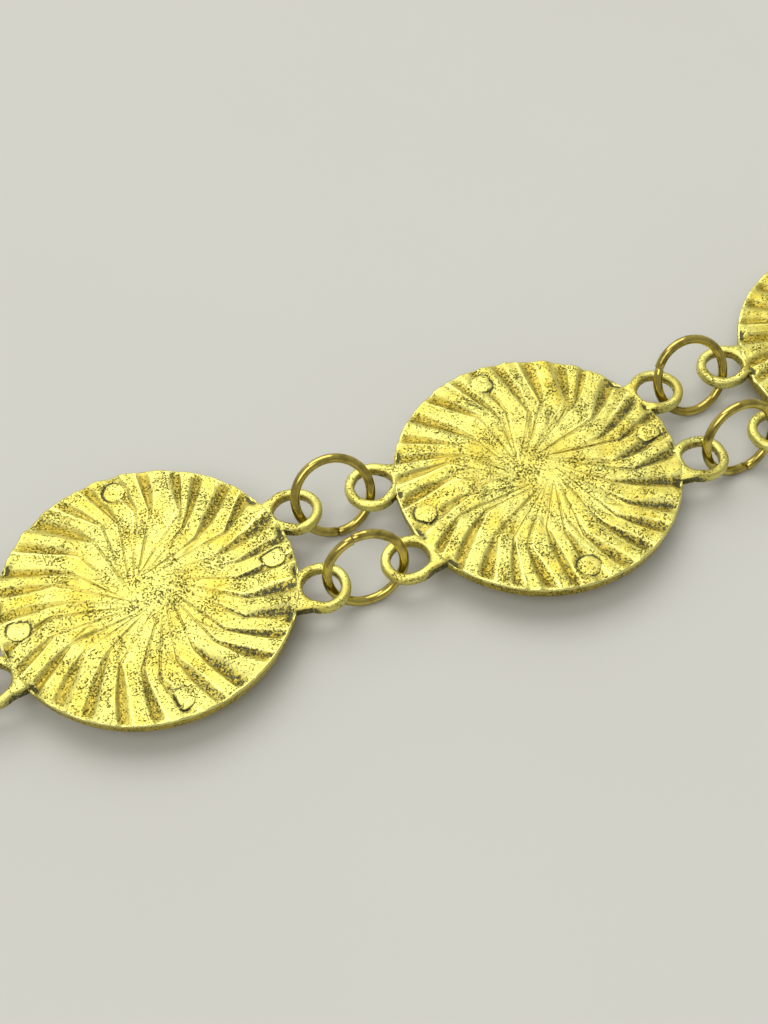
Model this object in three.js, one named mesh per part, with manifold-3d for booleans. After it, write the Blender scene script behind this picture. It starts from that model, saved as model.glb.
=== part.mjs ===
// Chain belt of round fluted discs, cast in one piece with four flat eyes each and joined by
// pairs of jump rings. It lies flat and open, along an arc, with a double hook at one end.
// Millimetres, +Z up, the belt runs along +X and the middle of its length is at X = 0.

import * as THREE from 'three';
import Module from 'manifold-3d';
import { mergeVertices } from 'three/addons/utils/BufferGeometryUtils.js';

const wasm = await Module();
wasm.setup();

// Driving dimensions of the belt
const discCount = 13;
const discRadius = 22;
const pitch = 61.4;            // centre to centre of two discs
const bend = 3.68;             // degrees that the chain turns at each disc

// Disc, seen from the side
const discTop = 5.8;           // top of the ridges and of the rim lip
const rimEdgeTop = 5.6;        // the lip's outer edge is rounded off to this height
const rimBottom = 3.6;
const rimDraft = 0.25;         // the rim draws in by this much towards its bottom
const lipInner = 21.2;
const footTop = 14.8;          // radii of the foot ring under the disc
const footOuter = 14;
const footInner = 12;
const recessInner = 11.4;
const recessTop = 3.5;

// Flutes: each one runs out from the hub, kinks and swings back towards the rim
const flutes = 30;
const hubRadius = 2.6;
const hubTop = 5.55;
const kinkRadius = 13.2;
const kinkTurn = -11;          // degrees from the hub to the kink
const rimTurn = 9;             // degrees from the kink to the flute's outer end
const fluteEnd = 20.5;
const kinkValley = 5.4;
const endValley = 5.3;

// Eyes, two on either side of a disc
const eyeX = 24.2;             // hole centre from the disc's centre
const eyeY = 7.26;
const eyeBottom = 4.05;
const eyeTop = 5.5;
const eyeHole = [2.85, 2.65];   // half length and half width of the oval hole
const eyeOuter = [4.35, 4.1];
const eyeRoot = 21.1;          // the eye's root lies on this radius, inside the rim
const eyeRootWidth = 3.2;      // half the width of the root, which is narrower than the loop
const eyeTipSides = 6;
const eyeHoleSides = 10;

// Jump rings, one pose for the far row of eyes and one for the near row
const ringRadius = 5.9;        // to the middle of the wire
const wireRadius = 0.73;
const ringSteps = 12;
const wireSteps = 6;
const rings = [
  { row: 'far', side: 1, shift: -0.06, height: 5.84, tilt: 57.4 },
  { row: 'near', side: -1, shift: -0.03, height: 6.41, tilt: 71.7 },
];

// Double hook: a flat bar with two eyes, and two hooks that curl down and back under it
const hookBar = [13, 21.5];    // the bar's span along X, from where a disc's centre would be
const hookBarHalf = 11.3;
const hookWidth = 3.6;
const hookStrip = 1.5;         // thickness of the bar and of the hooks
const hookReach = -2;          // X of the middle of the hook's bend
const hookFoot = 0.1;          // height of the hook's lower leg over the surface
const hookLeg = 6;             // length of the lower leg
const bendSteps = 4;

const gold = { color: 0xd6ce69, roughness: 0.42, metalness: 1 };
const wireGold = { color: 0xb09b4a, roughness: 0.28, metalness: 1 };
const rad = THREE.MathUtils.degToRad;

function toSolid(geometry) {
  const bare = geometry.clone();
  bare.deleteAttribute('normal');
  bare.deleteAttribute('uv');
  const merged = mergeVertices(bare, 1e-4);
  const mesh = new wasm.Mesh({
    numProp: 3,
    vertProperties: new Float32Array(merged.attributes.position.array),
    triVerts: new Uint32Array(merged.index.array),
  });
  return new wasm.Manifold(mesh);
}

function toGeometry(solid) {
  const { vertProperties, triVerts } = solid.getMesh();
  const geometry = new THREE.BufferGeometry();
  geometry.setAttribute('position', new THREE.BufferAttribute(vertProperties, 3));
  geometry.setIndex(new THREE.BufferAttribute(triVerts, 1));
  return geometry;
}

// Closed surface through loops of points round the Z axis, from a top middle point to a bottom
// one. A loop may have as many points as the one before it, twice as many or half as many.
function skin(loops, topMiddle, bottomMiddle) {
  const points = [topMiddle, ...loops.flat(), bottomMiddle];
  const starts = loops.map((_, i) => 1 + loops.slice(0, i).reduce((sum, loop) => sum + loop.length, 0));
  const index = [];
  const at = (i, k) => starts[i] + (k + loops[i].length) % loops[i].length;
  for (let k = 0; k < loops[0].length; k++) {
    index.push(0, at(0, k), at(0, k + 1));
  }
  for (let i = 1; i < loops.length; i++) {
    const upper = loops[i - 1].length;
    const lower = loops[i].length;
    for (let k = 0; k < Math.min(upper, lower); k++) {
      if (upper === lower) {
        index.push(at(i - 1, k), at(i, k), at(i, k + 1));
        index.push(at(i - 1, k), at(i, k + 1), at(i - 1, k + 1));
      } else if (upper < lower) {
        index.push(at(i - 1, k), at(i, 2 * k), at(i, 2 * k + 1));
        index.push(at(i - 1, k), at(i, 2 * k + 1), at(i - 1, k + 1));
        index.push(at(i - 1, k + 1), at(i, 2 * k + 1), at(i, 2 * k + 2));
      } else {
        index.push(at(i - 1, 2 * k), at(i, k), at(i - 1, 2 * k + 1));
        index.push(at(i - 1, 2 * k + 1), at(i, k), at(i, k + 1));
        index.push(at(i - 1, 2 * k + 1), at(i, k + 1), at(i - 1, 2 * k + 2));
      }
    }
  }
  const last = loops.length - 1;
  for (let k = 0; k < loops[last].length; k++) {
    index.push(points.length - 1, at(last, k + 1), at(last, k));
  }
  const geometry = new THREE.BufferGeometry();
  geometry.setAttribute('position', new THREE.Float32BufferAttribute(points.flat(), 3));
  geometry.setIndex(index);
  return geometry;
}

function loop(count, radius, turn, heights) {
  return Array.from({ length: count }, (_, k) => {
    const angle = rad(turn + 360 * k / count);
    return [radius * Math.cos(angle), radius * Math.sin(angle), heights[k % heights.length]];
  });
}

function discBody() {
  const outer = kinkTurn + rimTurn;
  const loops = [
    loop(flutes, hubRadius, 0, [hubTop]),
    loop(2 * flutes, kinkRadius, kinkTurn, [discTop, kinkValley]),
    loop(2 * flutes, fluteEnd, outer, [discTop, endValley]),
    loop(flutes, lipInner, outer, [discTop]),
    loop(flutes, discRadius, outer, [rimEdgeTop]),
    loop(flutes, discRadius - rimDraft, outer, [rimBottom]),
    loop(flutes / 2, footTop, outer, [recessTop]),
    loop(flutes / 2, footOuter, outer, [0]),
    loop(flutes / 2, footInner, outer, [0]),
    loop(flutes / 2, recessInner, outer, [recessTop]),
  ];
  return toSolid(skin(loops, [0, 0, hubTop], [0, 0, recessTop]));
}

// One eye in plan, on the right of a disc or of the hook bar, with its root inside the rim
function eyeShape(y) {
  const rootCorner = (side) => {
    const cornerY = y + side * eyeRootWidth;
    return new THREE.Vector2(Math.sqrt(eyeRoot ** 2 - cornerY ** 2), cornerY);
  };
  const tip = new THREE.EllipseCurve(eyeX, y, ...eyeOuter, -Math.PI / 2, Math.PI / 2);
  const hole = new THREE.EllipseCurve(eyeX, y, ...eyeHole).getPoints(eyeHoleSides);
  const shape = new THREE.Shape([rootCorner(-1), ...tip.getPoints(eyeTipSides), rootCorner(1)]);
  shape.holes.push(new THREE.Path(hole.slice(1)));
  return shape;
}

function eyeSolid(y) {
  const settings = { depth: eyeTop - eyeBottom, bevelEnabled: false };
  return toSolid(new THREE.ExtrudeGeometry(eyeShape(y), settings).translate(0, 0, eyeBottom));
}

function discSolid() {
  let solid = discBody();
  for (const y of [eyeY, -eyeY]) {
    const eye = eyeSolid(y);
    solid = solid.add(eye).add(eye.rotate([0, 0, 180]));
  }
  return solid;
}

// Side view of one hook: out along the top, round the bend and back along the surface
function hookShape() {
  const bendOuter = (eyeTop - hookFoot) / 2;
  const bendInner = bendOuter - hookStrip;
  const middle = hookFoot + bendOuter;
  const shape = new THREE.Shape();
  shape.moveTo(hookBar[0] + 1, eyeTop);
  shape.lineTo(hookReach, eyeTop);
  shape.absarc(hookReach, middle, bendOuter, Math.PI / 2, 3 * Math.PI / 2, false);
  shape.lineTo(hookReach + hookLeg, hookFoot);
  shape.lineTo(hookReach + hookLeg, hookFoot + hookStrip);
  shape.absarc(hookReach, middle, bendInner, 3 * Math.PI / 2, Math.PI / 2, true);
  shape.lineTo(hookBar[0] + 1, eyeTop - hookStrip);
  return shape;
}

function hookSolid() {
  const bar = new THREE.BoxGeometry(hookBar[1] - hookBar[0], 2 * hookBarHalf, hookStrip);
  bar.translate((hookBar[0] + hookBar[1]) / 2, 0, eyeTop - hookStrip / 2);
  let solid = toSolid(bar);
  for (const y of [eyeY, -eyeY]) {
    const settings = { depth: hookWidth, bevelEnabled: false, curveSegments: bendSteps };
    const hook = new THREE.ExtrudeGeometry(hookShape(), settings);
    hook.rotateX(Math.PI / 2).translate(0, y + hookWidth / 2, 0);
    solid = solid.add(toSolid(hook)).add(eyeSolid(y));
  }
  return solid;
}

// The chain's course is an arc with the middle disc at its lowest point. Places are numbered
// from the hook, which stands where one more disc would be.
const middlePlace = (discCount + 1) / 2;
const turnAt = (place) => rad(bend * (place - middlePlace));

function chainPlaces() {
  const places = [new THREE.Vector2(0, 0)];
  for (let i = 0; i < discCount; i++) {
    const step = new THREE.Vector2(pitch, 0).rotateAround(new THREE.Vector2(), turnAt(i + 0.5));
    places.push(places[i].clone().add(step));
  }
  return places;
}

const group = new THREE.Group();

function addPiece(parent, name, geometry, finish) {
  const mesh = new THREE.Mesh(geometry, new THREE.MeshStandardMaterial(finish));
  mesh.name = name;
  parent.add(mesh);
}

function twoDigits(number) {
  return String(number).padStart(2, '0');
}

const discGeometry = toGeometry(discSolid());
const hookGeometry = toGeometry(hookSolid());
const ringGeometry = new THREE.TorusGeometry(ringRadius, wireRadius, wireSteps, ringSteps);
const belt = new THREE.Group();
const places = chainPlaces();

places.forEach((place, i) => {
  const holder = new THREE.Group();
  holder.position.set(place.x, place.y, 0);
  holder.rotation.z = turnAt(i);
  if (i === 0) {
    addPiece(holder, 'hook', hookGeometry, gold);
  } else {
    addPiece(holder, `disc_${twoDigits(i)}`, discGeometry, gold);
  }
  belt.add(holder);
});

// Each pair of jump rings lies midway between the eyes that it joins
for (let i = 0; i < discCount; i++) {
  const eyeRow = (n, side) => new THREE.Vector2(side * eyeX, 0)
    .rotateAround(new THREE.Vector2(), turnAt(n)).add(places[n]);
  const middle = eyeRow(i, 1).add(eyeRow(i + 1, -1)).multiplyScalar(0.5);
  const holder = new THREE.Group();
  holder.position.set(middle.x, middle.y, 0);
  holder.rotation.z = turnAt(i + 0.5);
  for (const ring of rings) {
    const tilted = new THREE.Group();
    tilted.position.set(0, ring.side * eyeY + ring.shift, ring.height);
    tilted.rotation.x = rad(ring.tilt);
    addPiece(tilted, `ring_${twoDigits(i)}_${ring.row}`, ringGeometry, wireGold);
    holder.add(tilted);
  }
  belt.add(holder);
}

// The frame's origin is under the middle of the whole belt's outline
belt.updateMatrixWorld(true);
const outline = new THREE.Box3().setFromObject(belt, true);
belt.position.set(-(outline.min.x + outline.max.x) / 2, -(outline.min.y + outline.max.y) / 2, 0);
group.add(belt);

export default group;
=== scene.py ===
import math

import bpy
import numpy as np
from mathutils import Matrix, Vector


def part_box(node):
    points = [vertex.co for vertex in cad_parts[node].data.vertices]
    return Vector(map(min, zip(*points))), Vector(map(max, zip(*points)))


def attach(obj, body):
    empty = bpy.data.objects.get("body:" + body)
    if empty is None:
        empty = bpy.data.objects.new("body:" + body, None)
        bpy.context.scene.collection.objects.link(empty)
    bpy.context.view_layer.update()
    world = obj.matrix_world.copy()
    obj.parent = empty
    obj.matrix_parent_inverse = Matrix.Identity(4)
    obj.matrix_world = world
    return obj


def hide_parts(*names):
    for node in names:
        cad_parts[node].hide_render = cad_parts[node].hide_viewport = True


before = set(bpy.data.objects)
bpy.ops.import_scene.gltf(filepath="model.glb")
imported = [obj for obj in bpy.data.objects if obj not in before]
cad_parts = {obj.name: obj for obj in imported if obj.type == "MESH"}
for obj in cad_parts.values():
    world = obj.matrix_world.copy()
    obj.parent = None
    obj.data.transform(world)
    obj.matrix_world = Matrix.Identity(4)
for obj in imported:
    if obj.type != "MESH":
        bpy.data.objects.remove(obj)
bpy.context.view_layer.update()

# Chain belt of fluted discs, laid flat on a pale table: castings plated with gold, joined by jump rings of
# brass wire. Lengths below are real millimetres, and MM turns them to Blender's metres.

MM = 0.001
PER_MM = 1000.0                # a noise's Scale for one feature in each millimetre

# The chain's course: it turns a little at each disc, and places are numbered from the hook
DISC_COUNT = 13
MIDDLE_PLACE = (DISC_COUNT + 1) / 2
BEND = math.radians(3.68)

# Seeds of the random draws. A disc's or a ring pair's number is added to its own.
DISC_SEED = 100
RING_SEED = 500
HOOK_SEED = 40

# Disc
DISC_RADIUS = 22.0
DISC_TOP = 5.8
DISH_DEPTH = 0.2               # how much lower the middle of the face lies
DISH_RADIUS = 13.0
FACE_END = 21.6                # radius of the face's outermost ring of points
FACE_BANDS = ((0.6, 3.0, 5), (3.0, 10.0, 12), (10.0, FACE_END, 42))   # rings of points: from, to, how many

# Side and underside of the disc, from the top edge to the middle of the recess: radius, height, and how much
# painted shade it takes, most on the side band. A fine line runs round the side where the two halves of the
# mould met.
RIM_PROFILE = [
    (21.86, 5.79, 0.0), (21.97, 5.72, 0.0), (22.00, 5.58, 0.0), (21.99, 5.40, 0.7), (21.98, 4.90, 0.8),
    (21.94, 4.76, 0.7), (21.80, 4.70, 1.0), (21.83, 4.58, 0.9), (21.82, 4.10, 0.9), (21.74, 3.75, 0.9),
    (21.50, 3.60, 0.6),
    (15.40, 3.50, 0.6), (14.80, 3.30, 0.8), (14.20, 0.30, 0.5), (13.90, 0.00, 0.1), (12.10, 0.00, 0.1),
    (11.85, 0.30, 0.5), (11.40, 3.20, 0.8), (10.90, 3.50, 0.6), (0.60, 3.50, 0.5),
]
RIM_SHOULDER = (5.4, 5.7)      # between these heights the side comes to follow the face's edge up and down
RIM_FLARE = 0.35               # how far out the edge leans where it stands higher, as a share of that height
SHADE_GREY_FROM = 0.7                # rows painted darker than this in the profile also take a little grey, as more painted shade
SIDE_SHADE_GREY = 0.3

# Flutes
FLUTES = 30
KINK_RADIUS = (10.8, 15.2)     # the flutes kink somewhere between these radii
HUB_MISS = 2.3                 # inside their kinks the flutes are straight, and pass the middle this far off
RIM_TURN = math.radians(8)     # from the kink to the rim
FULL_DEPTH = 0.46              # of a groove at its outer end
GROOVE_ROUND = 1.4             # power by which a groove's side rises from its floor
RIDGE_CROWN = 0.06             # of a ridge over its edges, at the rim
CREASE_WIDTH = 0.15
CREASE_DEPTH = 0.12
KINK_EASE = 0.8                # power by which a groove turns from its kink to the rim

# Columns of points across one flute, as shares of a groove's side from its middle out, and of the ridge
GROOVE_STEPS = (0.0, 0.3, 0.65, 1.0)
RIDGE_STEPS = (0.08, 0.25, 0.42, 0.58, 0.75, 0.92)

# How a groove grows past its kink: distance outside the kink, and the share of its full depth or width
DEPTH_PAST_KINK = ((-0.8, 0.0), (0.0, 0.15), (2.2, 0.8), (6.0, 1.0))
WIDTH_PAST_KINK = ((-9.0, 0.65), (-2.0, 0.4), (0.0, 0.5), (4.0, 1.0))
INNER_DEPTH = 0.34             # of the lines inside the kinks, as a share of the full depth
BREAK_RADII = (0, 4, 6, 8, 10, 12, 22)    # at these radii the lines inside the kinks come and go
HUB_FADE = (2.2, 5.5)          # between these radii the lines fade out towards the middle
HOLLOW_SHADE_FADE = (3.0, 5.5)       # and between these the floors' painted shade does

# Unevenness of the cast skin: size of the lumps, and their height
SKIN_LUMPS = ((0.6, 0.035), (1.3, 0.05), (7.0, 0.07))

# Dried polish, and wear with a painted highlight, each from nothing at the first radius to its full share at
# the second. The first side of a groove is the one before the ridge that follows it.
RESIDUE_FROM = (6.0, 15.0)
RESIDUE_ALL_ROUND = 0.27       # share that lies all round the disc, and not only on its residue side
RESIDUE_SIDES = (1.0, 0.45)    # on a groove's first and second side
RESIDUE_CLIMB = 0.6            # how much less there is at a groove's edge than in its floor
RIDGE_RESIDUE = 0.2
WEAR_AND_HIGHLIGHT_FROM = (6.0, 13.0)
WEAR_AND_HIGHLIGHT_EDGES = (0.8, 0.3)        # of a groove's first and second side

# Pads on the face, with a moat round each
PAD_RADIUS = 1.75
PAD_DISTANCE = 18.9            # of a pad's middle from the disc's
PAD_HEADINGS = (90, 0, -90, 180)
PAD_SIDES = 30
PAD_ROUGHNESS = 0.025          # how much a pad's radius varies round it, as a share
PAD_LEAN = 0.04
PAD_LEVEL = 0.6                # how far the flutes are levelled under a pad and its moat, as a share
MOAT_OFFSET = 0.08             # of the moat's middle outside the pad's edge
MOAT_WIDTH = 0.22
MOAT_DEPTH = 0.3
THICK_RESIDUE = 2.2            # a mark as high as this leaves no gaps in the dried polish

# Half of a pad's section, from its middle out and down into the disc: share of its radius, and height over
# the disc's top
PAD_PROFILE = [(0.45, 0.03), (0.88, 0.02), (0.96, -0.02), (1.0, -0.12), (1.0, -1.2)]

# Pads of the two discs that show best: heading from the disc's middle, side of the straight cut and of the
# deeper moat, both in degrees, and how far from the middle the cut lies, as a share of the radius
PADS = {
    6: ((92, 150, 0.9), (-1, 110, 0.6), (-88, 190, 0.5), (182, 80, 0.75)),
    7: ((92, 0, 0.8), (-1, -80, 0.7), (-92, 100, 1.0), (183, 230, 0.85)),
}
RESIDUE_SIDE = math.radians(-25)     # the side of those two discs where most polish has dried
OTHER_SIDES = 0.9                    # how far it is from there on the other discs, as a spread in radians

# Eyes
EYE_X = 24.2
EYE_Y = 7.26
EYE_HOLE_TIP = 2.85            # from the hole's middle to its end at the tip
EYE_HOLE_ROOT = 3.0            # and to its end towards the disc
EYE_HOLE_HALF = 2.65           # half width of the hole
EYE_OUTER = (4.35, 4.1)        # half length and half width of the loop
EYE_NECK = 2.95                # half width where it meets the rim
EYE_ROOT = 19.0                # X of the far end, inside the disc
EYE_BOTTOM = 4.05
EYE_TOP = 5.5
EYE_SUNK = (21.6, 21.0)        # between these radii the loop's top goes down into the disc
EYE_SINK = 0.7
EYE_WANDER = 0.12              # how far a loop's form wanders, at most
WANDER_POINTS = 8              # round the loop

# Section of an eye's band, as shares of its half width and height: a crowned top with rounded edges
BAND_SECTION = [
    (1.00, 0.10), (0.97, 0.50), (0.82, 0.82), (0.45, 0.99), (0.00, 1.04), (-0.50, 1.00), (-0.82, 0.88),
    (-0.97, 0.58), (-1.00, 0.10), (-0.98, -0.65), (-0.78, -1.00), (0.78, -1.00), (0.98, -0.65),
]

# Dark sinks in the rim beside an eye's root: distance from the eye's middle line, and depth
ROOT_NOTCHES = ((3.5, 0.8), (-3.3, 0.7))
NOTCH_RADIUS = 21.5
NOTCH_LENGTH = (0.7, 1.3)      # least and most, along the rim
NOTCH_WIDTH = (0.4, 0.65)
NOTCH_SHARE = (0.6, 1.0)       # of its depth that a notch has

# Jump rings
RING_RADIUS = 5.9
WIRE_RADIUS = 0.73
RING_TILT = {"far": math.radians(57.4), "near": math.radians(71.7)}
WIRE_SIDES = 16
RING_STEPS = 72
SPLIT_GAP = math.radians(0.5)
SPLIT_OFFSET = 0.2             # how far the two ends stand out of line
SPLIT_BEND = 0.16              # share of the ring over which an end bends out of line
WIRE_END = 0.86                # share of the wire's radius that its cut ends have, which bevels them
BEVEL_STEP = 0.003             # length of that bevel, as a share of the ring
SPLITS = {                     # where a ring is cut, in degrees round it from its right side
    ("far", 6): -95, ("near", 6): 102, ("far", 7): 150, ("near", 7): -80,
}
OTHER_SPLITS = [-100, -80, 75, 95, 110]

# Double hook
HOOK_BAR = (13.0, 21.5)
HOOK_BAR_HALF = 11.3
HOOK_BAR_PLAIN = 4.0           # half the length of the bar's middle stretch
HOOK_WIDTH = 3.6
HOOK_STRIP = 1.5
HOOK_REACH = -2.0
HOOK_FOOT = 0.1
HOOK_LEG = 6.0
HOOK_TOP = (1.0, 0.8, -4.0, -8.0, -12.0)     # points along a hook's top, from the bar's near edge
BEND_POINTS = 13
LEG_END = (0.9, 0.25, 0.0)     # last points along a hook's leg, from its tip
BAR_END = (0.0, 0.3, 0.9)      # last points along the bar, from its tip

# Section of a bar, as shares of its half width and height, and how large its last two sections are, as shares
# of the whole section, which rounds its end
BAR_SECTION = [(1.0, -0.6), (1.0, 0.6), (0.88, 0.9), (0.6, 1.0), (-0.6, 1.0), (-0.88, 0.9), (-1.0, 0.6),
               (-1.0, -0.6), (-0.88, -0.9), (-0.6, -1.0), (0.6, -1.0), (0.88, -0.9)]
END_SIZES = (0.72, 0.93)

# Camera, at the photograph's angle to the two discs in the middle of the belt
CAMERA_AZIMUTH = math.radians(-19.13)     # from the line between the two discs
CAMERA_ELEVATION = math.radians(54.03)
CAMERA_ROLL = math.radians(-1.58)
CAMERA_DISTANCE = 225.4
CAMERA_TARGET = (36.8, 0.8, DISC_TOP)     # from the middle of disc_06, along that line, across it and up
CAMERA_LENS = 53.07
CAMERA_NEAR = 10.0

# Table
TABLE_HALF = 6000.0
TABLE_UNDER = 0.02             # how far the table lies under the belt, so that no two faces meet


def middle_of(node):
    low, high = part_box(node)
    return (low + high) / 2


def turn_at(place):
    return BEND * (place - MIDDLE_PLACE)


def place_matrix(point, turn):
    return Matrix.Translation(point) @ Matrix.Rotation(turn, 4, "Z")


def toward(azimuth, elevation):
    """Direction from the target to a camera or lamp there. Azimuth 0 stands at -Y."""
    return Vector((math.sin(azimuth) * math.cos(elevation), -math.cos(azimuth) * math.cos(elevation),
                   math.sin(elevation)))


def make_camera():
    first, second = (Vector((*middle_of(node).xy, 0)) for node in ("disc_06", "disc_07"))
    along = (second - first).normalized()
    frame_axes = Matrix((along, Vector((-along.y, along.x, 0)), Vector((0, 0, 1)))).transposed()
    back = toward(CAMERA_AZIMUTH, CAMERA_ELEVATION)
    right = Vector((math.cos(CAMERA_AZIMUTH), math.sin(CAMERA_AZIMUTH), 0))
    axes = Matrix((right, back.cross(right), back)).transposed() @ Matrix.Rotation(CAMERA_ROLL, 3, "Z")
    place = first + frame_axes @ (Vector(CAMERA_TARGET) + back * CAMERA_DISTANCE) * MM
    camera = bpy.data.objects.new("camera", bpy.data.cameras.new("camera"))
    camera.data.lens = CAMERA_LENS
    camera.data.clip_start = CAMERA_NEAR * MM
    camera.matrix_world = Matrix.Translation(place) @ (frame_axes @ axes).to_4x4()
    bpy.context.scene.collection.objects.link(camera)
    bpy.context.scene.camera = camera


make_camera()


# Materials
def linear(colour):
    """sRGB hex as the linear colour that a shader takes."""
    values = [int(colour[i:i + 2], 16) / 255 for i in (1, 3, 5)]
    return [v / 12.92 if v <= 0.04045 else ((v + 0.055) / 1.055) ** 2.4 for v in values] + [1.0]


# Sockets that nodes number instead of naming them. Multiply-add gives A * B + C
IN_A, IN_B, IN_C = 0, 1, 2             # a Math node's
MIX_A, MIX_B, MIX_COLOUR = 6, 7, 2     # a colour Mix node's, the last one its output


def add(tree, kind, settings=(), links=()):
    """Adds a node. A setting's name is a socket's name or number, or else a property of the node."""
    node = tree.nodes.new(kind)
    for name, value in dict(settings).items():
        if isinstance(name, int) or name in node.inputs:
            node.inputs[name].default_value = value
        else:
            setattr(node, name, value)
    for name, output in dict(links).items():
        tree.links.new(output, node.inputs[name])
    return node


def new_material(name):
    material = bpy.data.materials.new(name)
    material.use_nodes = True
    tree = material.node_tree
    tree.nodes.clear()
    shader = add(tree, "ShaderNodeBsdfPrincipled")
    add(tree, "ShaderNodeOutputMaterial", links={"Surface": shader.outputs["BSDF"]})
    coords = add(tree, "ShaderNodeTexCoord").outputs["Object"]
    return material, tree, shader, coords


def gold_plated_casting():
    """Zinc cast in a rubber mould and plated with pale gold. The high places are a bright lemon gold, the
    hollows are painted a deeper olive gold as painted shade, and edges paler as wear and painted highlight.
    The cast skin is full of dark pits, and grey polish has dried in the flutes; the same grey is painted
    shade on the eyes' inner walls and the disc's side."""
    material, tree, shader, coords = new_material("gold_plated_zinc_casting")
    hollow_shade, polish_and_shade, wear_and_highlight = (
        add(tree, "ShaderNodeAttribute", {"attribute_name": name}).outputs["Fac"] for name in MARKS)
    # Pits about 0.3 mm wide, with finer ones between. They lie in drifts 3 mm across and in the grooves, and
    # are fewer on the edges painted paler for wear and painted highlight.
    grit = add(tree, "ShaderNodeTexNoise", {"Scale": 3.3 * PER_MM, "Detail": 3.0, "Roughness": 0.7},
               {"Vector": coords}).outputs["Fac"]
    drifts = add(tree, "ShaderNodeTexNoise", {"Scale": 0.3 * PER_MM, "Detail": 3.0},
                 {"Vector": coords}).outputs["Fac"]
    open_skin = add(tree, "ShaderNodeMapRange",
                    {"From Min": 0.35, "From Max": 0.65, "To Min": 0.075, "To Max": -0.035},
                    {"Value": drifts}).outputs["Result"]
    in_hollows = add(tree, "ShaderNodeMath", {"operation": "MULTIPLY_ADD", IN_B: -0.035},
                     {IN_A: hollow_shade, IN_C: open_skin}).outputs["Value"]
    on_edges = add(tree, "ShaderNodeMath", {"operation": "MULTIPLY_ADD", IN_B: 0.11},
                   {IN_A: wear_and_highlight, IN_C: in_hollows}).outputs["Value"]
    depth = add(tree, "ShaderNodeMath", {"operation": "SUBTRACT"},
                {IN_A: grit, IN_B: on_edges}).outputs["Value"]
    pits = add(tree, "ShaderNodeMapRange", {"From Min": 0.535, "From Max": 0.585},
               {"Value": depth}).outputs["Result"]
    # Colour: lemon on top, warmer gold in patches 6 mm across, olive in the hollows as painted shade, paler
    # on the edges as wear and painted highlight, dark in the pits
    tint = add(tree, "ShaderNodeTexNoise", {"Scale": 0.16 * PER_MM, "Detail": 4.0},
               {"Vector": coords}).outputs["Fac"]
    warm = add(tree, "ShaderNodeMapRange", {"From Min": 0.42, "From Max": 0.68},
               {"Value": tint}).outputs["Result"]
    top = add(tree, "ShaderNodeMix",
              {"data_type": "RGBA", MIX_A: linear("#E3DE7C"), MIX_B: linear("#DBCB58")},
              {"Factor": warm}).outputs[MIX_COLOUR]
    shaded_hollow_colour = add(tree, "ShaderNodeMix", {"data_type": "RGBA", MIX_B: linear("#C1AC42")},
               {"Factor": hollow_shade, MIX_A: top}).outputs[MIX_COLOUR]
    worn_and_highlit = add(tree, "ShaderNodeMix", {"data_type": "RGBA", MIX_B: linear("#EEE88E")},
                 {"Factor": wear_and_highlight, MIX_A: shaded_hollow_colour}).outputs[MIX_COLOUR]
    pitted = add(tree, "ShaderNodeMix", {"data_type": "RGBA", MIX_B: linear("#6C6429")},
                 {"Factor": pits, MIX_A: worn_and_highlit}).outputs[MIX_COLOUR]
    # Grey in broken patches 0.4 mm across where the mark allows it: dried polish, and painted shade on the
    # eyes' inner walls and the disc's side
    patches = add(tree, "ShaderNodeTexNoise", {"Scale": 2.3 * PER_MM, "Detail": 3.0, "Roughness": 0.75},
                  {"Vector": coords}).outputs["Fac"]
    share = add(tree, "ShaderNodeMath", {"operation": "MULTIPLY_ADD", IN_B: 0.36},
                {IN_A: polish_and_shade, IN_C: patches}).outputs["Value"]
    grey = add(tree, "ShaderNodeMapRange", {"From Min": 0.73, "From Max": 0.79, "To Max": 0.92},
               {"Value": share}).outputs["Result"]
    coat = add(tree, "ShaderNodeMix", {"data_type": "RGBA", MIX_B: linear("#5E5F47")},
               {"Factor": grey, MIX_A: pitted}).outputs[MIX_COLOUR]
    tree.links.new(coat, shader.inputs["Base Color"])
    shader.inputs["Metallic"].default_value = 1.0
    # Edges marked for wear and painted highlight are smoother, pits and the grey patches are rougher
    edge_wear_and_highlight = add(tree, "ShaderNodeMapRange", {"To Min": 0.46, "To Max": 0.24},
                 {"Value": wear_and_highlight}).outputs["Result"]
    rough = add(tree, "ShaderNodeMath", {"operation": "MULTIPLY_ADD", IN_B: 0.12},
                {IN_A: pits, IN_C: edge_wear_and_highlight}).outputs["Value"]
    rougher = add(tree, "ShaderNodeMath", {"operation": "MULTIPLY_ADD", IN_B: 0.2},
                  {IN_A: grey, IN_C: rough}).outputs["Value"]
    tree.links.new(rougher, shader.inputs["Roughness"])
    grain = add(tree, "ShaderNodeMath", {"operation": "MULTIPLY_ADD", IN_B: -0.6},
                {IN_A: grit, IN_C: drifts}).outputs["Value"]
    skin = add(tree, "ShaderNodeMath", {"operation": "MULTIPLY_ADD", IN_B: -0.4},
               {IN_A: pits, IN_C: grain}).outputs["Value"]
    bump = add(tree, "ShaderNodeBump", {"Strength": 0.8, "Distance": 0.1 * MM}, {"Height": skin})
    tree.links.new(bump.outputs["Normal"], shader.inputs["Normal"])
    return material


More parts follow.
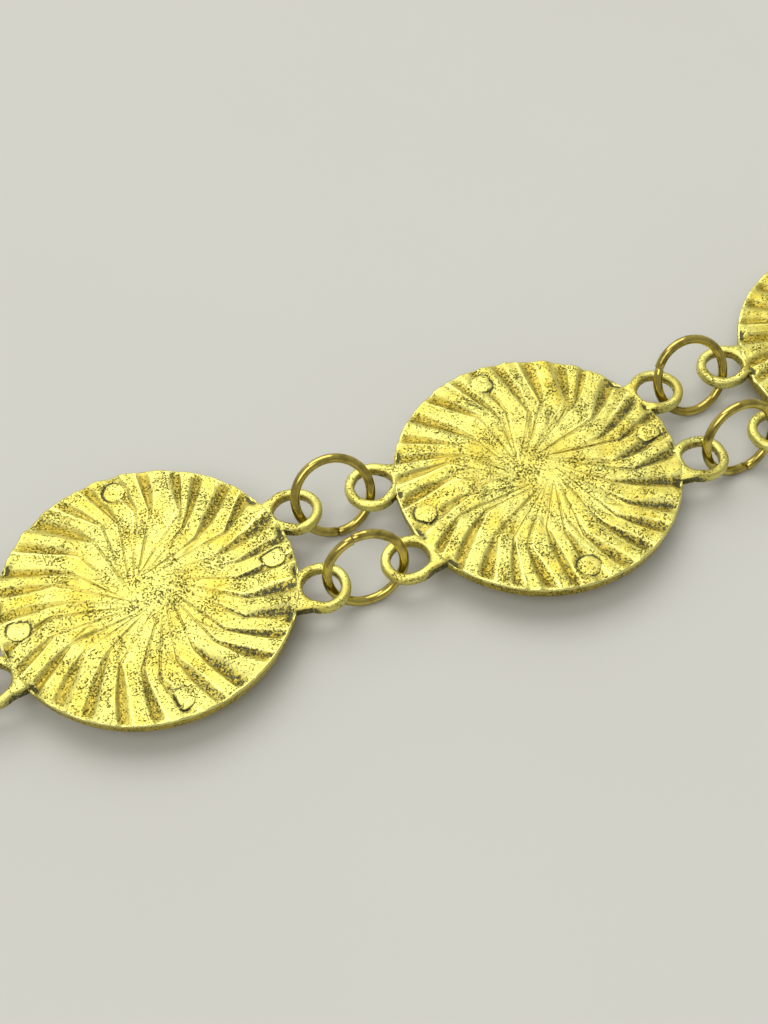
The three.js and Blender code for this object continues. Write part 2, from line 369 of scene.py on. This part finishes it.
def drawn_brass_wire():
    """Brass wire drawn through a die, wound and cut into rings. It is smoother, darker and browner than the
    castings, with dull spots 2 mm across and a fine tooth."""
    material, tree, shader, coords = new_material("drawn_brass_wire")
    tarnish = add(tree, "ShaderNodeTexNoise", {"Scale": 0.42 * PER_MM, "Detail": 4.0},
                  {"Vector": coords}).outputs["Fac"]
    dull = add(tree, "ShaderNodeMapRange", {"From Min": 0.45, "From Max": 0.72},
               {"Value": tarnish}).outputs["Result"]
    colour = add(tree, "ShaderNodeMix",
                 {"data_type": "RGBA", MIX_A: linear("#C9B860"), MIX_B: linear("#7E7034")},
                 {"Factor": dull})
    tree.links.new(colour.outputs[MIX_COLOUR], shader.inputs["Base Color"])
    shader.inputs["Metallic"].default_value = 1.0
    rough = add(tree, "ShaderNodeMapRange",
                {"From Min": 0.3, "From Max": 0.75, "To Min": 0.08, "To Max": 0.22}, {"Value": tarnish})
    tree.links.new(rough.outputs["Result"], shader.inputs["Roughness"])
    tooth = add(tree, "ShaderNodeTexNoise", {"Scale": 1.8 * PER_MM, "Detail": 2.0},
                {"Vector": coords}).outputs["Fac"]
    bump = add(tree, "ShaderNodeBump", {"Strength": 0.25, "Distance": 0.04 * MM}, {"Height": tooth})
    tree.links.new(bump.outputs["Normal"], shader.inputs["Normal"])
    return material


def matte_paper():
    """Pale uncoated paper: a soft grey white, a little uneven over 80 mm, with hardly any tooth."""
    material, tree, shader, coords = new_material("matte_paper")
    mottle = add(tree, "ShaderNodeTexNoise", {"Scale": 0.012 * PER_MM, "Detail": 5.0},
                 {"Vector": coords}).outputs["Fac"]
    colour = add(tree, "ShaderNodeMix",
                 {"data_type": "RGBA", MIX_A: linear("#D3D4D0"), MIX_B: linear("#CFCFCA")},
                 {"Factor": mottle})
    tree.links.new(colour.outputs[MIX_COLOUR], shader.inputs["Base Color"])
    shader.inputs["Roughness"].default_value = 0.85
    return material


# What each point of a piece is marked with for the casting's material: 0 for not at all, 1 for fully
MARKS = ("hollow_shade", "polish_and_shade", "wear_and_highlight")
HOLLOW_SHADE, POLISH_AND_SHADE, WEAR_AND_HIGHLIGHT = range(len(MARKS))

CASTING = gold_plated_casting()
WIRE = drawn_brass_wire()
PAPER = matte_paper()


# Mesh pieces
def rings_to_faces(ring_count, columns, closed=False):
    """Quads between rings of points, with the outside on the right of the way that the rings go."""
    faces = []
    for i in range(ring_count if closed else ring_count - 1):
        here, there = i * columns, (i + 1) % ring_count * columns
        for k in range(columns):
            after = (k + 1) % columns
            faces.append((here + k, there + k, there + after, here + after))
    return faces


def capped_faces(ring_count, columns):
    """The quads between rings, and fans to a middle point at either end, which follow the rings' points."""
    count = ring_count * columns
    last = count - columns
    faces = rings_to_faces(ring_count, columns)
    faces += [(count, k, (k + 1) % columns) for k in range(columns)]
    faces += [(count + 1, last + (k + 1) % columns, last + k) for k in range(columns)]
    return faces


def strip_shell(sections):
    """A closed strip through sections, each a loop of points already in place, with flat ends."""
    count, sides = len(sections), len(sections[0])
    faces = rings_to_faces(count, sides)
    faces.append(tuple(range(sides)))
    faces.append(tuple(reversed(range((count - 1) * sides, count * sides))))
    return np.concatenate(sections), faces, np.zeros((count * sides, len(MARKS)))


def join_parts(parts):
    """Points, faces and marks of several closed shells as one list each."""
    points, faces, marks = [], [], []
    for part_points, part_faces, part_marks in parts:
        start = sum(len(p) for p in points)
        points.append(np.asarray(part_points, float))
        faces += [tuple(start + k for k in face) for face in part_faces]
        marks.append(np.asarray(part_marks, float))
    return np.concatenate(points), faces, np.concatenate(marks)


def make_piece(name, parts, place, material, body, nodes):
    """One mesh piece from its shells, placed in the frame."""
    points, faces, marks = join_parts(parts)
    mesh = bpy.data.meshes.new(name)
    mesh.from_pydata((points * MM).tolist(), [], faces)
    for column, mark in enumerate(MARKS):
        layer = mesh.attributes.new(mark, "FLOAT", "POINT")
        layer.data.foreach_set("value", marks[:, column].astype(np.float32))
    mesh.transform(place)
    mesh.update()
    mesh.shade_smooth()
    mesh.materials.append(material)
    piece = bpy.data.objects.new(name, mesh)
    bpy.context.scene.collection.objects.link(piece)
    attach(piece, body)
    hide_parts(*nodes)


def smooth(low, high, value):
    t = np.clip((value - low) / (high - low), 0, 1)
    return t * t * (3 - 2 * t)


def look_up(table, value):
    """A value from a table of pairs, with straight lines between them."""
    return np.interp(value, *zip(*table))


class Lumps:
    """Smooth random heights from -1 to 1 over the plane, on a square net of the given size."""

    REACH = 60.0               # of the net from the middle, on each side

    def __init__(self, rng, size):
        self.size = size
        count = int(2 * self.REACH / size) + 3
        self.net = rng.uniform(-1, 1, (count, count))

    def at(self, x, y):
        u, v = (x + self.REACH) / self.size, (y + self.REACH) / self.size
        i, j = u.astype(int), v.astype(int)
        s, t = smooth(0, 1, u - i), smooth(0, 1, v - j)
        net = self.net
        return ((net[i, j] * (1 - s) + net[i + 1, j] * s) * (1 - t)
                + (net[i, j + 1] * (1 - s) + net[i + 1, j + 1] * s) * t)


class Flutes:
    """One disc's flutes, each a little different in place, width, depth and in where it kinks. What varies is
    given as a spread, or as the least and the most. Widths and the spreads of angles are shares of the
    pitch."""

    PITCH = 2 * math.pi / FLUTES
    KINK_SPREAD = 0.20
    RIM_SPREAD = 0.13
    MISS_SPREAD = 0.12
    FARTHEST = 1.7                 # of those three, in spreads
    HALF_BEFORE = (0.17, 0.28)     # a groove's side towards the flute before it
    HALF_AFTER = (0.23, 0.36)
    DEPTH_SHARE = (0.7, 1.1)
    OPEN_END = (0.1, 1.0)          # how deep a groove still is at the rim, before the power below
    OPEN_POWER = 1.5               # it makes most of them shallow there
    TILT_SPREAD = 0.10             # of a ridge's two edges against each other, at the rim
    LIFT_SPREAD = 0.05             # of a ridge's crown
    BREAKS = (0.15, 1.25)          # how the lines inside the kinks come and go
    CREASE = (0.35, 1.2)           # how deep a crease is, as a share
    CREASE_LENGTH = (3.0, 5.5)
    CREASE_STEP = 0.07             # how much higher one side of a crease lies

    def __init__(self, rng):
        base = np.arange(FLUTES) * self.PITCH
        jitter = rng.normal(0, 1, (3, FLUTES)).clip(-self.FARTHEST, self.FARTHEST)
        self.kink = base + self.KINK_SPREAD * self.PITCH * jitter[0]
        self.rim = base + RIM_TURN + self.RIM_SPREAD * self.PITCH * jitter[1]
        self.miss = HUB_MISS * (1 + self.MISS_SPREAD * jitter[2])
        self.kink_radius = rng.uniform(*KINK_RADIUS, FLUTES)
        self.half_before = rng.uniform(*self.HALF_BEFORE, FLUTES)
        self.half_after = rng.uniform(*self.HALF_AFTER, FLUTES)
        self.depth_share = rng.uniform(*self.DEPTH_SHARE, FLUTES)
        self.open_end = rng.uniform(*self.OPEN_END, FLUTES) ** self.OPEN_POWER
        self.tilt = rng.normal(0, self.TILT_SPREAD, (2, FLUTES))     # outside and inside its kink
        self.lift = rng.normal(0, self.LIFT_SPREAD, FLUTES)
        self.breaks = rng.uniform(*self.BREAKS, (FLUTES, len(BREAK_RADII)))
        self.crease = rng.uniform(*self.CREASE, FLUTES)
        self.crease_length = rng.uniform(*self.CREASE_LENGTH, FLUTES)
        self.crease_step = rng.normal(0, self.CREASE_STEP, FLUTES)

    def groove_angle(self, i, radii):
        """Of a groove's middle. The groove after the last one is the first, a whole turn on."""
        k = i % FLUTES
        kink, miss = self.kink_radius[k], self.miss[k]
        inner = np.arcsin(miss / np.clip(radii, 1.1 * miss, kink)) - math.asin(miss / kink)
        outer = (radii.clip(kink) - kink) / (DISC_RADIUS - kink)
        turns = i // FLUTES
        return self.kink[k] + inner + outer ** KINK_EASE * (self.rim[k] - self.kink[k]) + 2 * math.pi * turns

    def groove_depth(self, k, radii):
        inner = INNER_DEPTH * np.interp(radii, BREAK_RADII, self.breaks[k])
        share = inner + (1 - inner) * look_up(DEPTH_PAST_KINK, radii - self.kink_radius[k])
        fade = 1 - smooth(FACE_END - 1, FACE_END, radii) * (1 - 0.75 * self.open_end[k])
        return FULL_DEPTH * share * smooth(*HUB_FADE, radii) * fade * self.depth_share[k]

    def groove_width(self, k, radii):
        """As a share of its full width, which it reaches outside its kink."""
        return look_up(WIDTH_PAST_KINK, radii - self.kink_radius[k])

    def ridge_tilt(self, i, radii):
        """How much higher the ridge after a groove lies on one side than on the other."""
        outside = smooth(-0.5, 0.5, radii - (self.kink_radius[i] + self.kink_radius[(i + 1) % FLUTES]) / 2)
        return self.tilt[0, i] * outside + self.tilt[1, i] * (1 - outside)

    def ridge_form(self, i, ridge, radii):
        """Height of the ridge over its edges, at a share of the way across it."""
        crown = 4 * ridge * (1 - ridge) * (RIDGE_CROWN + self.lift[i])
        return (crown + self.ridge_tilt(i, radii) * (ridge - 0.5)) * radii / DISC_RADIUS

    def crease_form(self, i, ridge, ridge_width, radii):
        """The line of the next groove goes on inside its kink as a thin crease that crosses the ridge.
        Returns its height and how much painted shade it takes."""
        inward = self.kink_radius[(i + 1) % FLUTES] - radii
        along = 1 - inward / self.crease_length[i]
        inside = smooth(-0.3, 0.3, inward) * smooth(-0.1, 0.1, along)
        away = (ridge - along) * ridge_width
        crease = self.crease[i] * inside * np.exp(-(away / CREASE_WIDTH) ** 2)
        step = self.crease_step[i] * inside * smooth(-CREASE_WIDTH, CREASE_WIDTH, away)
        return step - CREASE_DEPTH * crease, 0.6 * crease


def flute_columns(low, high, groove, after):
    """Columns of points from the middle of a groove to the middle of the one after it. Low and high are how
    far across the edges of the two lie. A column has its share of the way across, its share of the way up a
    groove's side, that groove, and its share of the way across the ridge, or None off it."""
    columns = [(s * low, s, groove, None) for s in GROOVE_STEPS]
    columns += [(low + (high - low) * t, 1.0, groove, t) for t in RIDGE_STEPS]
    columns += [(1 - s * (1 - high), s, after, None) for s in reversed(GROOVE_STEPS[1:])]
    return columns


def fluted_face(rng, residue_side):
    """The disc's top, as rings of points that follow the flutes, so that a groove's edge is a row of edges.
    Returns the points, their marks, and the angles of the outermost ring."""
    flutes = Flutes(rng)
    radii = np.concatenate([np.linspace(low, high, count, endpoint=high == FACE_END)
                            for low, high, count in FACE_BANDS])
    skin = [(Lumps(rng, size), height) for size, height in SKIN_LUMPS]
    angles, heights, hollow_shades, residues, wear_and_highlights = [], [], [], [], []
    for i in range(FLUTES):
        after = (i + 1) % FLUTES
        start, end = flutes.groove_angle(i, radii), flutes.groove_angle(i + 1, radii)
        low = flutes.half_after[i] * flutes.groove_width(i, radii)
        high = 1 - flutes.half_before[after] * flutes.groove_width(after, radii)
        for share, side, groove, ridge in flute_columns(low, high, i, after):
            angle = start + (end - start) * share
            x, y = radii * np.cos(angle), radii * np.sin(angle)
            depth = flutes.groove_depth(groove, radii)
            sunk = 1 - side ** GROOVE_ROUND
            height = -sunk * depth
            # Painted shade: a groove's floor is painted darker the deeper it lies
            hollow_shade = sunk * (0.15 * smooth(*HOLLOW_SHADE_FADE, radii) + 0.85 * depth / FULL_DEPTH)
            if ridge is None:
                # Polish dries in the floor of a groove, and more on its first side. The edges are painted
                # paler, as wear and painted highlight.
                second = int(groove != i)
                spread = (1 - RESIDUE_CLIMB * side ** GROOVE_ROUND) * RESIDUE_SIDES[second]
                edge_wear_and_highlight = (side == 1) * WEAR_AND_HIGHLIGHT_EDGES[second]
            else:
                crease_height, crease_shade = flutes.crease_form(
                    i, ridge, (high - low) * radii * (end - start), radii)
                height = height + flutes.ridge_form(i, ridge, radii) + crease_height
                hollow_shade = hollow_shade + crease_shade
                spread = RIDGE_RESIDUE
                edge_wear_and_highlight = 0
            for lumps, rise in skin:
                height = height + rise * lumps.at(x, y)
            facing = 0.5 + 0.5 * np.cos(angle - residue_side)
            angles.append(angle)
            heights.append(height)
            hollow_shades.append(hollow_shade)
            here = RESIDUE_ALL_ROUND + (1 - RESIDUE_ALL_ROUND) * facing ** 2
            residues.append(spread * smooth(*RESIDUE_FROM, radii) * here)
            wear_and_highlights.append(edge_wear_and_highlight * smooth(*WEAR_AND_HIGHLIGHT_FROM, radii))
    angles, heights = np.array(angles).T, np.array(heights).T
    marks = np.stack([np.array(m).T for m in (hollow_shades, residues, wear_and_highlights)], axis=-1)
    dish = DISC_TOP - DISH_DEPTH * (1 - smooth(0, DISH_RADIUS, radii))[:, None]
    x, y = radii[:, None] * np.cos(angles), radii[:, None] * np.sin(angles)
    return np.stack([x, y, heights + dish], axis=-1), marks, angles[-1]


def pad_edge(turn, deep_side, flat):
    """A pad's radius at a heading: it is round, but often cut straight on one side."""
    return PAD_RADIUS * np.minimum(1, flat / np.cos(turn - deep_side).clip(0.01))


def cut_moats(face, marks, pads):
    """The hollow round each pad, deeper on one side, where polish has dried. Its floor is also painted with
    shade.
    """
    for px, py, deep_side, flat in pads:
        away = np.hypot(face[..., 0] - px, face[..., 1] - py)
        heading = np.arctan2(face[..., 1] - py, face[..., 0] - px)
        edge = pad_edge(heading, deep_side, flat) + MOAT_OFFSET
        arc = 0.25 + 0.75 * (0.5 + 0.5 * np.cos(heading - deep_side)) ** 1.5
        moat = np.exp(-((away - edge) / MOAT_WIDTH) ** 2) * arc
        level = PAD_LEVEL * smooth(PAD_RADIUS + 1.0, PAD_RADIUS, away)
        face[..., 2] = face[..., 2] * (1 - level) + (DISC_TOP - 0.02) * level - MOAT_DEPTH * moat
        marks[..., HOLLOW_SHADE] = np.maximum(marks[..., HOLLOW_SHADE] * (1 - level), 0.7 * moat)
        marks[..., POLISH_AND_SHADE] = np.maximum(marks[..., POLISH_AND_SHADE] * (1 - level), THICK_RESIDUE * moat)


def sink_notches(face, marks, rng):
    """Short dark sinks along the rim where the eyes leave it."""
    for row in (1, -1):
        for side in (1, -1):
            for from_eye, depth in ROOT_NOTCHES:
                y = row * (EYE_Y + from_eye) + rng.normal(0, 0.25)
                radius = NOTCH_RADIUS + rng.normal(0, 0.1)
                heading = math.atan2(y, side * math.sqrt(radius ** 2 - y ** 2))
                length, width = rng.uniform(*NOTCH_LENGTH), rng.uniform(*NOTCH_WIDTH)
                outward = face[..., 0] * math.cos(heading) + face[..., 1] * math.sin(heading) - radius
                aside = face[..., 1] * math.cos(heading) - face[..., 0] * math.sin(heading)
                sink = rng.uniform(*NOTCH_SHARE) * np.exp(-(outward / width) ** 2 - (aside / length) ** 2)
                face[..., 2] -= depth * sink
                marks[..., POLISH_AND_SHADE] = np.maximum(marks[..., POLISH_AND_SHADE], THICK_RESIDUE * sink)


def disc_shell(rng, residue_side, pads):
    face, marks, angle = fluted_face(rng, residue_side)
    cut_moats(face, marks, pads)
    sink_notches(face, marks, rng)
    edge_lift = face[-1, :, 2] - DISC_TOP
    rim, rim_marks = [], []
    for r, z, side_shade in RIM_PROFILE:
        near_top = smooth(*RIM_SHOULDER, z)
        height = z + edge_lift * near_top
        radius = r + RIM_FLARE * edge_lift * near_top
        rim.append(np.stack([radius * np.cos(angle), radius * np.sin(angle), height], axis=-1))
        # The side band takes painted shade and a little grey as painted shade; the lip near the top is
        # painted paler as a painted highlight
        rim_marks.append(np.tile([side_shade, SIDE_SHADE_GREY * (side_shade > SHADE_GREY_FROM), near_top], (len(angle), 1)))
    rings = np.concatenate([face, np.array(rim)])
    top_middle = [0, 0, face[0, :, 2].mean()]
    bottom_middle = [0, 0, RIM_PROFILE[-1][1]]
    points = np.concatenate([rings.reshape(-1, 3), [top_middle, bottom_middle]])
    marks = np.concatenate([marks.reshape(-1, 3), *rim_marks, np.zeros((2, len(MARKS)))])
    return points, capped_faces(len(rings), len(angle)), marks


def pad_shell(rng, px, py, deep_side, flat):
    """A pad that stands in the face, with a rounded edge."""
    turn = np.arange(PAD_SIDES) * 2 * math.pi / PAD_SIDES
    radius = pad_edge(turn, deep_side, flat) * (1 + PAD_ROUGHNESS * rng.normal(0, 1, PAD_SIDES))
    lean = PAD_LEAN * np.cos(turn - deep_side - 2.0)
    rings = [np.stack([px + r * radius * np.cos(turn), py + r * radius * np.sin(turn),
                       DISC_TOP + z + lean * r], axis=-1) for r, z in PAD_PROFILE]
    highest, lowest = PAD_PROFILE[0][1], PAD_PROFILE[-1][1]
    points = np.concatenate([*rings, [[px, py, DISC_TOP + highest]], [[px, py, DISC_TOP + lowest]]])
    # The top takes a little of the wear and painted highlight, and its edge, the fourth ring, is painted dark
    # with painted shade and the grey
    marks = np.zeros((len(points), len(MARKS)))
    marks[:3 * PAD_SIDES, WEAR_AND_HIGHLIGHT] = 0.15
    marks[3 * PAD_SIDES:4 * PAD_SIDES, [HOLLOW_SHADE, POLISH_AND_SHADE]] = 1.2
    return points, capped_faces(len(PAD_PROFILE), PAD_SIDES), marks


def eye_shell(rng, row, side):
    """One eye: a cast loop round an oval hole. Its far end lies inside the disc, and towards the rim its top
    rises to the face."""
    centre_y = row * EYE_Y
    neck = math.asin(EYE_NECK / EYE_OUTER[1])
    quarter = math.pi / 2
    stretches = ((-quarter, quarter, 21), (quarter, math.pi - neck, 6), (math.pi - neck, math.pi + neck, 9),
                 (math.pi + neck, 3 * quarter, 6))
    turn = np.concatenate([np.linspace(*stretch)[:-1] for stretch in stretches])
    leans = rng.uniform(-EYE_WANDER, EYE_WANDER, WANDER_POINTS)
    wander = np.interp(turn, np.linspace(-quarter, 3 * quarter, WANDER_POINTS + 1), [*leans, leans[0]])
    middle_z, half_z = (EYE_TOP + EYE_BOTTOM) / 2, (EYE_TOP - EYE_BOTTOM) / 2
    points, marks = [], []
    for a, lean in zip(turn, wander):
        c, s = math.cos(a), math.sin(a)
        outer = np.array([EYE_OUTER[0] * c, EYE_OUTER[1] * s]) * (1 + 0.3 * lean)
        if c < -math.cos(neck):
            outer = np.array([EYE_ROOT - EYE_X, EYE_NECK * s / math.sin(neck)])
        hole_length = EYE_HOLE_TIP if c > 0 else EYE_HOLE_ROOT
        hole = np.array([hole_length * c, EYE_HOLE_HALF * s]) * (1 + 0.5 * lean)
        middle, reach = (outer + hole) / 2, (outer - hole) / 2
        web = smooth(-0.1, 0.6, -c)     # 1 where the loop has come to the disc
        for u, v in BAND_SECTION:
            x, y = middle + u * reach
            sunk = smooth(*EYE_SUNK, math.hypot(EYE_X + x, centre_y + y))
            rise = (DISC_TOP - EYE_TOP) * web * (1 - sunk) - EYE_SINK * sunk if v > 0 else 0
            points.append((side * (EYE_X + x), centre_y + y, middle_z + v * half_z + rise + 0.1 * lean))
            # The wall towards the hole and the underside are painted darker as painted shade, and the wall
            # also takes grey as painted shade. The root takes the grey, and the top is painted a little paler
            # as wear and painted highlight.
            wall = max(0.0, -u) * (v < 0.7)     # the side towards the hole
            root = web * (u > 0.9)
            underside = v < -0.6
            marks.append((max(0.9 * wall, 0.6 * underside), max(0.5 * wall, root), 0.35 * (1 - 0.6 * web)))
    faces = rings_to_faces(len(turn), len(BAND_SECTION), closed=True)
    if side < 0:
        faces = [face[::-1] for face in faces]
    return np.array(points), faces, np.array(marks)


def make_disc(number):
    rng = np.random.default_rng(DISC_SEED + number)
    name = f"disc_{number:02d}"
    headings = PADS.get(number) or [(h + rng.normal(0, 2), rng.uniform(0, 360), rng.uniform(0.5, 1.1))
                                    for h in PAD_HEADINGS]
    pads = []
    for heading, deep_side, flat in headings:
        a = math.radians(heading)
        pads.append((PAD_DISTANCE * math.cos(a), PAD_DISTANCE * math.sin(a), math.radians(deep_side), flat))
    residue_side = RESIDUE_SIDE + (0 if number in PADS else rng.normal(0, OTHER_SIDES))
    parts = [disc_shell(rng, residue_side, pads)]
    parts += [pad_shell(rng, *pad) for pad in pads]
    parts += [eye_shell(rng, row, side) for row in (1, -1) for side in (1, -1)]
    place = place_matrix(Vector((*middle_of(name).xy, 0)), turn_at(number))
    make_piece(f"cast_{name}", parts, place, CASTING, name, [name])


for number in range(1, DISC_COUNT + 1):
    make_disc(number)


# Jump rings
def ring_shell(split):
    """Round wire, cut and closed so that its two ends stand a little out of line."""
    sections = []
    round_turn = -np.arange(WIRE_SIDES) * 2 * math.pi / WIRE_SIDES
    steps = np.linspace(0, 1, RING_STEPS)
    steps[1], steps[-2] = BEVEL_STEP, 1 - BEVEL_STEP
    for s in steps:
        angle = split + SPLIT_GAP / 2 + s * (2 * math.pi - SPLIT_GAP)
        offset = SPLIT_OFFSET * ((1 - smooth(0, SPLIT_BEND, s)) - smooth(1 - SPLIT_BEND, 1.0, s)) / 2
        wire = WIRE_RADIUS * (WIRE_END if s in (0, 1) else 1)
        radial = RING_RADIUS + wire * np.cos(round_turn)
        sections.append(np.stack([radial * math.cos(angle), radial * math.sin(angle),
                                  wire * np.sin(round_turn) + offset], axis=-1))
    return strip_shell(sections)


def make_rings(pair):
    rng = np.random.default_rng(RING_SEED + pair)
    for row, tilt in RING_TILT.items():
        node = f"ring_{pair:02d}_{row}"
        chance = rng.choice(OTHER_SPLITS)
        split = math.radians(SPLITS.get((row, pair), chance))
        place = place_matrix(middle_of(node), turn_at(pair + 0.5)) @ Matrix.Rotation(tilt, 4, "X")
        make_piece(f"jump_{node}", [ring_shell(split)], place, WIRE, f"rings_{pair:02d}", [node])


for pair in range(DISC_COUNT):
    make_rings(pair)


# Double hook
def bar_shell(path, across, width, thickness):
    """A flat bar with rounded edges and ends, along a path that lies square to the across direction."""
    path, across = np.array(path, float), np.array(across, float)
    ahead = np.gradient(path, axis=0)
    ahead /= np.linalg.norm(ahead, axis=1)[:, None]
    sizes = np.ones(len(path))
    sizes[:2], sizes[-2:] = END_SIZES, END_SIZES[::-1]
    sections = []
    for point, forward, size in zip(path, ahead, sizes):
        up = np.cross(forward, across)
        sections.append(np.array([point + (u * across * width + v * up * thickness) * size / 2
                                  for u, v in BAR_SECTION]))
    return strip_shell(sections)


def make_hook():
    bend = (EYE_TOP - HOOK_FOOT - HOOK_STRIP) / 2
    middle_z = HOOK_FOOT + HOOK_STRIP / 2 + bend
    top, foot = middle_z + bend, middle_z - bend
    side_view = [(HOOK_BAR[0] + x, top) for x in HOOK_TOP]
    side_view += [(HOOK_REACH - bend * math.sin(a), middle_z + bend * math.cos(a))
                  for a in np.linspace(0, math.pi, BEND_POINTS)]
    side_view.append((HOOK_REACH + 2, foot))
    side_view += [(HOOK_REACH + HOOK_LEG - from_tip, foot) for from_tip in LEG_END]
    rng = np.random.default_rng(HOOK_SEED)
    parts = []
    for row in (1, -1):
        path = [(x, row * EYE_Y, z) for x, z in side_view]
        parts += [bar_shell(path, (0, 1, 0), HOOK_WIDTH, HOOK_STRIP), eye_shell(rng, row, 1)]
    middle_x, width = sum(HOOK_BAR) / 2, HOOK_BAR[1] - HOOK_BAR[0]
    ends = [HOOK_BAR_HALF - from_tip for from_tip in BAR_END]
    ys = [-y for y in ends] + [-HOOK_BAR_PLAIN, HOOK_BAR_PLAIN] + ends[::-1]
    parts.append(bar_shell([(middle_x, y, top) for y in ys], (1, 0, 0), width, HOOK_STRIP))
    # The hook stands where one more disc would be, before the first
    first, second = (middle_of(f"disc_{n:02d}").xy for n in (1, 2))
    step = Vector((*(second - first), 0))
    step.rotate(Matrix.Rotation(-BEND, 3, "Z"))
    place = place_matrix(Vector((*first, 0)) - step, turn_at(0))
    make_piece("cast_hook", parts, place, CASTING, "hook", ["hook"])


make_hook()


# Table and light
def make_table():
    mesh = bpy.data.meshes.new("table")
    half, z = TABLE_HALF * MM, -TABLE_UNDER * MM
    mesh.from_pydata([(-half, -half, z), (half, -half, z), (half, half, z), (-half, half, z)],
                     [], [(0, 1, 2, 3)])
    mesh.materials.append(PAPER)
    table = bpy.data.objects.new("table", mesh)
    bpy.context.scene.collection.objects.link(table)


def make_light(name, azimuth, elevation, distance, size, power, colour):
    """A soft box that looks at the middle of the belt. Its distance and size are in metres, its angles in
    degrees and its power in watts."""
    light = bpy.data.lights.new(name, "AREA")
    light.size = size
    light.energy = power
    light.color = linear(colour)[:3]
    lamp = bpy.data.objects.new(name, light)
    away = toward(math.radians(azimuth), math.radians(elevation))
    lamp.location = away * distance
    lamp.rotation_euler = away.to_track_quat("Z", "Y").to_euler()
    bpy.context.scene.collection.objects.link(lamp)


def make_room(bright_side, colour):
    """A room with its bright wall on one side, which gives the gold its light and dark."""
    world = bpy.data.worlds.new("room")
    world.use_nodes = True
    tree = world.node_tree
    heading = add(tree, "ShaderNodeTexCoord").outputs["Generated"]
    facing = add(tree, "ShaderNodeVectorMath", {"operation": "DOT_PRODUCT", IN_B: bright_side},
                 {IN_A: heading})
    strength = add(tree, "ShaderNodeMapRange",
                   {"From Min": -0.3, "From Max": 1.0, "To Min": 0.42, "To Max": 0.8},
                   {"Value": facing.outputs["Value"]})
    background = tree.nodes["Background"]
    background.inputs["Color"].default_value = linear(colour)
    tree.links.new(strength.outputs["Result"], background.inputs["Strength"])
    bpy.context.scene.world = world


make_table()
make_light("window", azimuth=178, elevation=60, distance=4.0, size=3.25, power=75, colour="#FFFDF8")
make_light("fill", azimuth=-50, elevation=55, distance=4.0, size=2.5, power=44, colour="#FAF9F4")
make_room(bright_side=(0.0, 0.95, 0.3), colour="#ECEAE4")
bpy.context.scene.view_settings.view_transform = "Standard"
